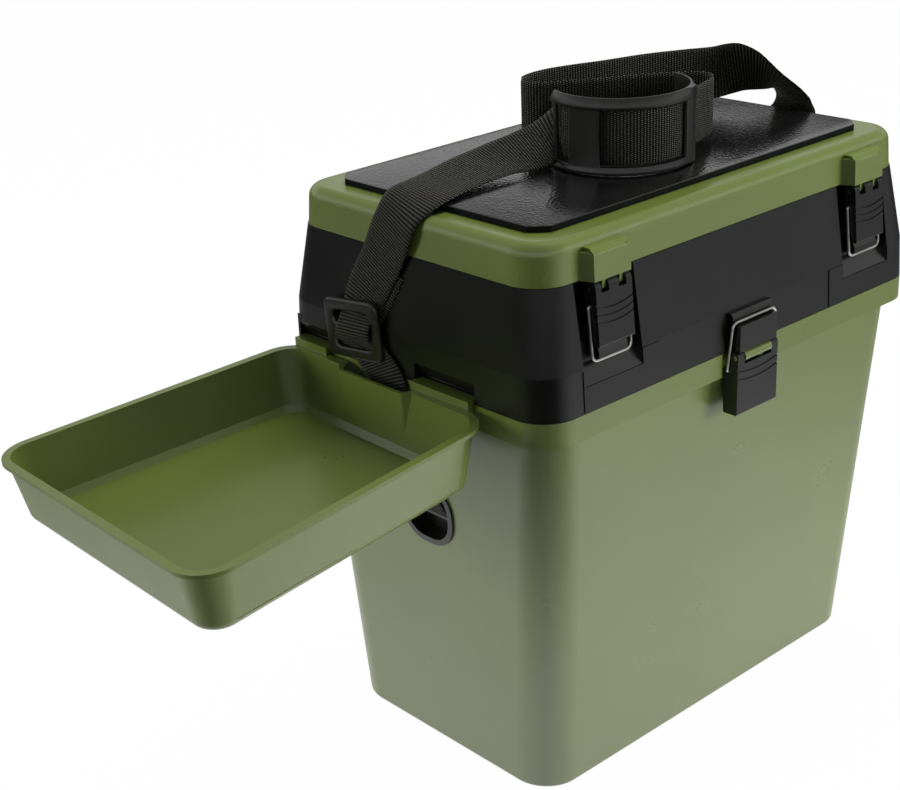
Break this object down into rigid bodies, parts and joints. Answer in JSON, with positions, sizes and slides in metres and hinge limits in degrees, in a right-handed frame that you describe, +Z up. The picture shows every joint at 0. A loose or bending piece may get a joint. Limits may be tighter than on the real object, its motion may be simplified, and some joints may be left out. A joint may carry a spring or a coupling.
{
  "type": "fishing seat box",
  "caption": "Tapered seat box with a hinged middle tier and padded lid, wire-bail latches, a hang-on side tray, a lift-out insert tray and a shoulder strap.",
  "frame": {"origin": "centre of the lower box's flat base, on the floor", "axes": "+X along the length to the right as seen from the latch side, +Y to the hinge side, +Z up; the side tray hangs at -X"},
  "size_m": [0.6175, 0.2651, 0.4433],
  "materials": {
    "green_plastic": "moulded olive green plastic, fine satin grain",
    "black_case": "moulded black plastic, satin",
    "black_plastic": "moulded black plastic, satin",
    "pad_vinyl": "glossy pebbled sheet",
    "wire_steel": "bright zinc-plated wire",
    "pin_steel": "plated steel",
    "webbing": "ribbed black polypropylene webbing"
  },
  "bodies": {
    "bin": {"bin_shell": "green_plastic", "tier_hinge_pins": "pin_steel", "front_lever_pin": "pin_steel", "strap_anchor_left": "black_plastic", "strap_anchor_right": "black_plastic", "strap_tail_left": "webbing", "strap_tail_right": "webbing"},
    "tier": {"tier_shell": "black_case", "lid_hinge_pins": "pin_steel", "buckle_left": "black_plastic", "buckle_right": "black_plastic"},
    "lid": {"lid_shell": "green_plastic", "seat_pad": "pad_vinyl", "lid_lever_pins": "pin_steel", "strap_web": "webbing", "shoulder_slide": "black_plastic"},
    "front_lever": {"front_lever": "black_plastic"},
    "front_bail": {"front_bail": "wire_steel"},
    "left_lever": {"left_lever": "black_plastic"},
    "left_bail": {"left_bail": "wire_steel"},
    "right_lever": {"right_lever": "black_plastic"},
    "right_bail": {"right_bail": "wire_steel"},
    "side_tray": {"side_tray": "green_plastic"},
    "insert_tray": {"insert_tray": "green_plastic"}
  },
  "joints": [
    {"name": "tier_hinge", "type": "hinge", "parent": "bin", "child": "tier", "pos_m": [0, 0.1285, 0.284], "axis": [-1, 0, 0], "range_deg": [0, 100]},
    {"name": "lid_hinge", "type": "hinge", "parent": "tier", "child": "lid", "pos_m": [0, 0.119, 0.364], "axis": [-1, 0, 0], "range_deg": [0, 100]},
    {"name": "front_lever_pivot", "type": "hinge", "parent": "bin", "child": "front_lever", "pos_m": [0, -0.1285, 0.2785], "axis": [-1, 0, 0], "range_deg": [0, 110]},
    {"name": "front_bail_pivot", "type": "hinge", "parent": "front_lever", "child": "front_bail", "pos_m": [0, -0.1237, 0.269], "axis": [-1, 0, 0], "range_deg": [-110, 0]},
    {"name": "left_lever_pivot", "type": "hinge", "parent": "lid", "child": "left_lever", "pos_m": [-0.1294, -0.1176, 0.3569], "axis": [-1, 0, 0], "range_deg": [0, 85]},
    {"name": "left_bail_pivot", "type": "hinge", "parent": "left_lever", "child": "left_bail", "pos_m": [-0.1294, -0.1173, 0.346], "axis": [-1, 0, 0], "range_deg": [0, 75]},
    {"name": "right_lever_pivot", "type": "hinge", "parent": "lid", "child": "right_lever", "pos_m": [0.1294, -0.1176, 0.3569], "axis": [-1, 0, 0], "range_deg": [0, 85]},
    {"name": "right_bail_pivot", "type": "hinge", "parent": "right_lever", "child": "right_bail", "pos_m": [0.1294, -0.1173, 0.346], "axis": [-1, 0, 0], "range_deg": [0, 75]},
    {"name": "side_tray_lift", "type": "slide", "parent": "bin", "child": "side_tray", "axis": [-0.5, 0, 0.866], "range_m": [0, 0.15]},
    {"name": "insert_lift", "type": "slide", "parent": "tier", "child": "insert_tray", "axis": [0, 0, 1], "range_m": [0, 0.05]}
  ],
  "couplings": [
    {"joint": "front_bail_pivot", "follows": "front_lever_pivot", "ratio": -1}
  ]
}
